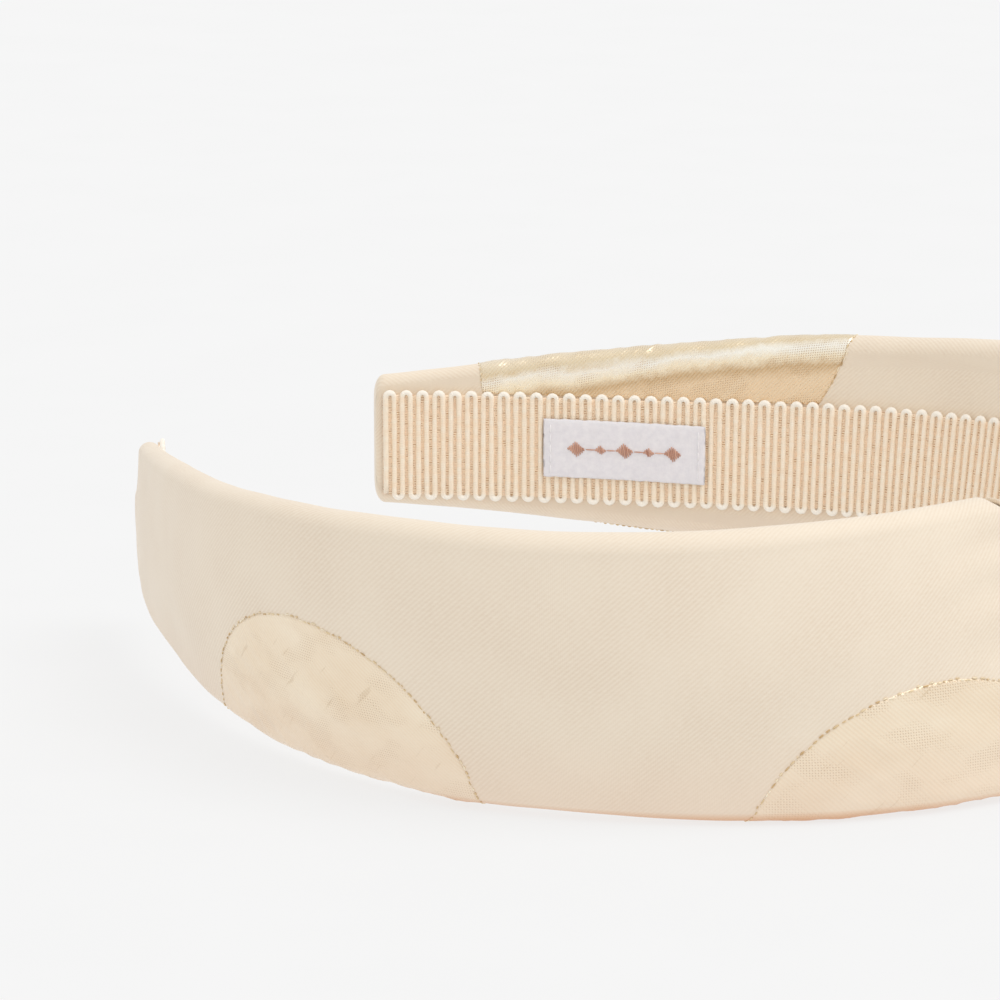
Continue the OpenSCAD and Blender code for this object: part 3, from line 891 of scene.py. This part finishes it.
def label():
    x = np.linspace(-1, 1, LABEL_COLS)
    y = np.linspace(-1, 1, LABEL_ROWS)
    x, y = np.meshgrid(x, y, indexing="ij")
    s, across = LABEL_AT + x * LABEL_LENGTH / 2, y * LABEL_HEIGHT / 2
    fray = 0.04 * Waves(90, 6, 0.9, 3)(s, across)
    s = s + fray * (np.abs(x) == 1)
    across = across + fray * (np.abs(y) == 1)
    plump = LABEL_THICK * (0.45 + 0.55 * (1 - np.maximum(np.abs(x) ** 30, np.abs(y) ** 12)))
    outer = label_place(s, across, plump)
    inner = label_place(s, across, 0)
    rings = np.concatenate([outer, inner[:, ::-1]], 1)
    piece = loft("label_tab", rings, LABEL, "label_satin",
                 np.concatenate([s, s], 1), np.concatenate([across, across[:, ::-1]], 1))
    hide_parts("label")
    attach(piece, "left_arm")


def on_label(s, across, off=LABEL_THICK + 0.03):
    return label_place(np.asarray(s, float), np.asarray(across, float), off)


def label_ornament():
    """A plain chain of lozenges in rose thread, each filled with slanting stitches."""
    dice = random.Random(5)
    runs, marks_s, marks_a = [], [], []
    count, pitch, reach = 5, 3.5, 1.25

    def stitch(s0, a0, s1, a1, thick):
        t = np.linspace(0, 1, 5)
        bow = 0.07 * np.sin(np.pi * t)
        path = on_label(s0 + (s1 - s0) * t, a0 + (a1 - a0) * t, LABEL_THICK + 0.02 + bow)
        runs.append(tube_rings(path, thick * np.array([0.6, 1, 1, 1, 0.6]), 6))
        marks_s.append(s0 + dice.uniform(0, 0.6))
        marks_a.append(a0 + dice.uniform(0, 0.6))

    for i in range(count):
        centre = LABEL_AT + (i - (count - 1) / 2) * pitch
        size = reach * (1.0 if i % 2 == 0 else 0.62)
        for t in np.arange(-size * 0.92, size * 0.93, 0.27):
            wide = (size - abs(t)) * 0.92
            jitter = dice.uniform(-0.05, 0.05)
            stitch(centre + t + 0.12, -wide + jitter, centre + t - 0.12, wide + jitter, 0.13)
        if i + 1 < count:
            gap_start = centre + size + 0.12
            next_size = reach * (0.62 if i % 2 == 0 else 1.0)
            stitch(gap_start, 0, centre + pitch - next_size - 0.12, 0, 0.09)
    points, faces = joined(runs)
    piece = make_piece("label_ornament", points, faces, ROSE_THREAD, "label_satin",
                       marks(runs, marks_s), marks(runs, marks_a))
    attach(piece, "left_arm")


def label_stitches():
    """Runs of white stitches that hold the label's two ends."""
    inset = LABEL_LENGTH / 2 - 1.0
    for name, x in (("label_stitch_tip", -inset), ("label_stitch_crown", inset)):
        runs, starts = [], []
        for i in range(5):
            a0 = (i - 2.5) / 2.5 * (LABEL_HEIGHT / 2 - 0.5)
            t = np.linspace(0, 1, 6)
            bow = LABEL_THICK - 0.04 + 0.12 * np.sin(np.pi * t)
            path = on_label(LABEL_AT + x + 0 * t, a0 + t * 1.15, bow)
            runs.append(tube_rings(path, 0.11 * np.array([0.5, 1, 1, 1, 1, 0.5]), 6, [1, 0, 0]))
            starts.append(a0)
        points, faces = joined(runs)
        piece = make_piece(name + "_thread", points, faces, WHITE_THREAD, "thread",
                           [LABEL_AT] * len(points), marks(runs, starts))
        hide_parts(name)
        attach(piece, "left_arm")


# ---------------------------------------------------------------- the knot

OUTER_HALF, INNER_HALF, LOOP_SLANT, LOOP_THICK = 11.0, 13.5, 5.0, 4.2
LOOP_END = 1.88


def slim(q):
    return 1 - 0.62 * ease((np.abs(q) - 0.35) / 0.8)


def rounded(v):
    return np.maximum(0, 1 - np.abs(v) ** 3.2) ** 0.6


def inner_half(q):
    return INNER_HALF * (0.9 + 0.1 * ease(np.abs(q) - 0.6))


def outer_half(q):
    return OUTER_HALF * (0.86 + 0.14 * ease(np.abs(q) - 0.6))


FOLD_DRIFT = Waves(61, 6, 0.7, 2.4)


def folds(q, v, count, seed):
    """Soft pleats that run along a loop and drift a little sideways."""
    drift = 0.10 * FOLD_DRIFT(q + seed, v)
    sharp = np.cos(2 * np.pi * count * (v + drift) + seed)
    return 0.16 * sharp + 0.07 * np.cos(4.3 * np.pi * count * (v - drift) + 2 * seed)


def inner_loop_point(q, v, share):
    u = -LOOP_SLANT * q / 2 + inner_half(q) * v
    rise = 0.4 + (LOOP_THICK * slim(q) - 0.4) * rounded(v) * (1 + folds(q, v, 1.5, 0.7))
    return u, GAP + 0.1 + share * (0.05 + rise)


def outer_base(q, u):
    v = (u + LOOP_SLANT * q / 2) / (inner_half(q) + 4)
    return GAP + 0.35 + (LOOP_THICK * slim(q) * 1.12 + 0.5) * np.maximum(0, 1 - np.abs(v) ** 2.6)


def outer_loop_point(q, v, share):
    u = LOOP_SLANT * q / 2 + outer_half(q) * v
    rise = 0.6 + (LOOP_THICK * slim(q) - 0.6) * rounded(v) * (1 + folds(q, v, 2.0, 2.1))
    return u, outer_base(q, u) + share * rise


def loop_surface(point, q, v, share, extra=0.0):
    u, off = point(q, v, share)
    h, n = around(HALF_LENGTH - np.abs(u), q, off + extra)
    return place(u, h, n)


def knot_loop(name, point, node):
    rows, cols = 150, 64
    q = np.linspace(-LOOP_END, LOOP_END, rows)[:, None]
    v = np.sin(np.linspace(-np.pi / 2, np.pi / 2, cols))[None]
    outer = loop_surface(point, q, v, 1.0)
    inner = loop_surface(point, q, v[:, 1:-1], 0.0)[:, ::-1]
    rings = np.concatenate([outer, inner], 1)
    along = np.broadcast_to(q * 20, (rows, cols))
    across = np.broadcast_to(v * OUTER_HALF, (rows, cols))
    a = np.concatenate([along, along[:, 1:-1]], 1)
    s = np.concatenate([across, across[:, -2:0:-1]], 1) + 40
    piece = loft(name, rings, IVORY, "satin", s, a)
    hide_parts(node)
    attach(piece, "crown")


def knot_dot():
    """The round of gold cloth on the knot's outer loop, with its stitches."""
    rows, cols = 40, 150
    mid_q, half_q, mid_v, half_v = 0.95, 0.72, -0.05, 0.72
    r = np.linspace(0, 1, rows + 1)[1:, None]
    angle = np.arange(cols) * 2 * np.pi / cols
    q, v = mid_q + half_q * r * np.cos(angle), mid_v + half_v * r * np.sin(angle)
    top = loop_surface(outer_loop_point, q, v, 1.0, DOT_LIFT - 0.07 * (r > 0.99))
    low = loop_surface(outer_loop_point, q, v, 1.0, -DOT_HIDE)
    ends = [loop_surface(outer_loop_point, np.array(mid_q), np.array(mid_v), 1.0, x)
            for x in (DOT_LIFT, -DOT_HIDE)]
    upper, faces = round_patch(rows, cols)
    points = np.concatenate([top.reshape(-1, 3), low.reshape(-1, 3), ends])
    s = np.concatenate([(v * OUTER_HALF).ravel(), (v * OUTER_HALF).ravel(), [0, 0]])
    a = np.concatenate([(q * 20).ravel(), (q * 20).ravel(), [mid_q * 20] * 2])
    piece = make_piece("dot_knot_cloth", points, faces, GOLD, "gold_lame", s, a)
    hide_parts("dot_knot")
    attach(piece, "crown")
    dice = random.Random(77)
    runs, at = [], 0.0
    while at < 2 * math.pi - 0.05:
        turn = np.linspace(at, at + dice.uniform(0.03, 0.08), 5)
        at = turn[-1] + dice.uniform(0.01, 0.04)
        path = loop_surface(outer_loop_point, mid_q + half_q * np.cos(turn),
                            mid_v + half_v * np.sin(turn), 1.0, 0.08)
        runs.append(tube_rings(path, 0.09 * np.array([0.4, 1, 1, 1, 0.4]), 6))
    points, faces = joined(runs)
    order = marks(runs, np.arange(len(runs)))
    stitches = make_piece("dot_knot_stitches", points, faces, GOLD_STITCH, "gold_lame",
                          order, order)
    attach(stitches, "crown")


def knot_tacks():
    """Two short runs of twisted thread that close the knot behind the band."""
    crown = HALF_LENGTH
    for name, sign in (("knot_tack_upper", 1), ("knot_tack_lower", -1)):
        h = ribbon_mid(crown) + sign * (RIBBON_WIDTH / 2 + 0.7)
        runs = []
        for i in range(4):
            t = np.linspace(0, 1, 7)
            u = -4 + 2.05 * (i + t * 0.92)
            n = ribbon_face(crown) - 0.15 - 0.3 * np.sin(np.pi * t)
            path = place(u, h + 0.25 * np.sin(2 * np.pi * t), n)
            runs.append(tube_rings(path, 0.2 * np.array([0.5, 0.9, 1, 1, 1, 0.9, 0.5]), 8))
        points, faces = joined(runs)
        order = marks(runs, 2.0 * np.arange(len(runs)))
        piece = make_piece(name + "_thread", points, faces, IVORY_THREAD, "thread", order, order)
        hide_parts(name)
        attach(piece, "crown")


# ---------------------------------------------------------------- camera, floor and light

EYE = (0.360459, -0.482202, 0.162292)
LOOKING = (-0.615761, 0.755698, -0.223067)
HALF_FIELD = math.radians(6.0)
FLOOR_HALF = 6.0


def camera():
    data = bpy.data.cameras.new("camera")
    data.sensor_width = 36.0
    data.lens = data.sensor_width / 2 / math.tan(HALF_FIELD)
    data.clip_start = 0.02
    data.clip_end = 20.0
    made = bpy.data.objects.new("camera", data)
    bpy.context.scene.collection.objects.link(made)
    made.location = EYE
    made.rotation_euler = Vector(LOOKING).to_track_quat("-Z", "Y").to_euler()
    bpy.context.scene.camera = made
    return made


def floor(height):
    mesh = bpy.data.meshes.new("floor")
    signs = ((-1, -1), (1, -1), (1, 1), (-1, 1))
    corners = [(x * FLOOR_HALF, y * FLOOR_HALF, height) for x, y in signs]
    mesh.from_pydata(corners, [], [(0, 1, 2, 3)])
    mesh.materials.append(floor_paper())
    made = bpy.data.objects.new("floor", mesh)
    bpy.context.scene.collection.objects.link(made)


def lights(eye):
    world = bpy.data.worlds.new("studio")
    world.use_nodes = True
    sky = world.node_tree.nodes["Background"]
    sky.inputs["Color"].default_value = (1.0, 1.0, 1.0, 1.0)
    sky.inputs["Strength"].default_value = 0.84
    bpy.context.scene.world = world
    data = bpy.data.lights.new("softbox", "SUN")
    data.energy = 0.95
    data.angle = math.radians(36)
    made = bpy.data.objects.new("softbox", data)
    bpy.context.scene.collection.objects.link(made)
    right = eye.matrix_world.to_quaternion() @ Vector((1, 0, 0))
    back = eye.matrix_world.to_quaternion() @ Vector((0, 0, -1))
    back.z = 0
    towards = 0.62 * right - 0.22 * back.normalized() + Vector((0, 0, 1.2))
    made.rotation_euler = (-towards).to_track_quat("-Z", "Y").to_euler()
    bpy.context.scene.view_settings.view_transform = "Standard"


# ---------------------------------------------------------------- the whole headband

eye = camera()
bpy.context.view_layer.update()
for side_name, side in SIDES.items():
    strip(side_name, side)
    padding(side_name, side)
    sleeve(side_name, side)
    lining(side_name, side)
dot("dot_left_crown", LEFT, 45, 18, DOT_RADIUS, KNOT_EDGE)
dot("dot_right_crown", RIGHT, 29.5, -25.5, DOT_RADIUS, KNOT_EDGE)
# the tip dot uses the lamé with a painted highlight band and painted shade bands
dot("dot_left_tip", LEFT, HALF_LENGTH - 42, float(flat(42) + 0.6), DOT_RADIUS * 1.16, FLEX_EDGE,
    GOLD_PAINTED_SHEEN)
dot("dot_left_mid", LEFT, HALF_LENGTH - 95, 0, DOT_RADIUS * 0.8, FLEX_EDGE)
dot("dot_right_mid", RIGHT, HALF_LENGTH - 80.8, -19.8, DOT_RADIUS, FLEX_EDGE)
knot_loop("knot_inner", inner_loop_point, "knot_right_loop")
knot_loop("knot_outer", outer_loop_point, "knot_left_loop")
knot_dot()
knot_tacks()
label()
label_ornament()
label_stitches()
visual_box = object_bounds()
floor(visual_box[0].z)
lights(eye)
